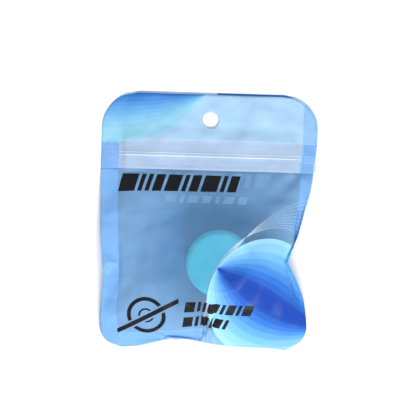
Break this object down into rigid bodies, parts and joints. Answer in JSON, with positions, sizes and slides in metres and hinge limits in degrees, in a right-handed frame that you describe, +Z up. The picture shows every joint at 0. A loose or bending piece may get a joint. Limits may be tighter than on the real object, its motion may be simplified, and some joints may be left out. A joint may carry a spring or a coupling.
{
  "type": "cue chalk in resealable pouch",
  "caption": "Round bevelled cue chalk puck sealed in a flat press-to-close film pouch with side and bottom seals, a closing strip and a hang hole.",
  "frame": {"origin": "on the floor under the middle of the pouch's outline", "axes": "+Y from the bottom seal to the mouth and hang hole, +Z up out of the pouch's printed front"},
  "size_m": [0.08, 0.0948, 0.0178],
  "materials": {
    "chalk": "matt pressed powder, turquoise",
    "clear_film": "thin frosted pale blue film",
    "header_film": "thin printed pale blue film",
    "sealed_film": "two films heat-sealed together",
    "closing_strip": "milky extruded polyethylene"
  },
  "bodies": {
    "pouch": {"back_panel": "clear_film", "back_header": "header_film", "front_panel": "clear_film", "left_side_seal": "sealed_film", "right_side_seal": "sealed_film", "bottom_seal": "sealed_film", "zip_channel_strip": "closing_strip", "left_zip_end": "closing_strip", "right_zip_end": "closing_strip"},
    "mouth": {"front_header": "header_film", "zip_rib_strip": "closing_strip"},
    "chalk_puck": {"chalk": "chalk"}
  },
  "joints": [
    {"name": "mouth_open", "type": "hinge", "parent": "pouch", "child": "mouth", "pos_m": [0, 0.0192, 0.0021], "axis": [1, 0, 0], "range_deg": [0, 35], "deforming": ["zip_channel_strip"]},
    {"name": "chalk_slide", "type": "slide", "parent": "pouch", "child": "chalk_puck", "axis": [0, 1, 0], "range_m": [0, 0.085], "deforming": ["front_panel", "back_panel", "front_header", "zip_rib_strip", "zip_channel_strip"]}
  ]
}
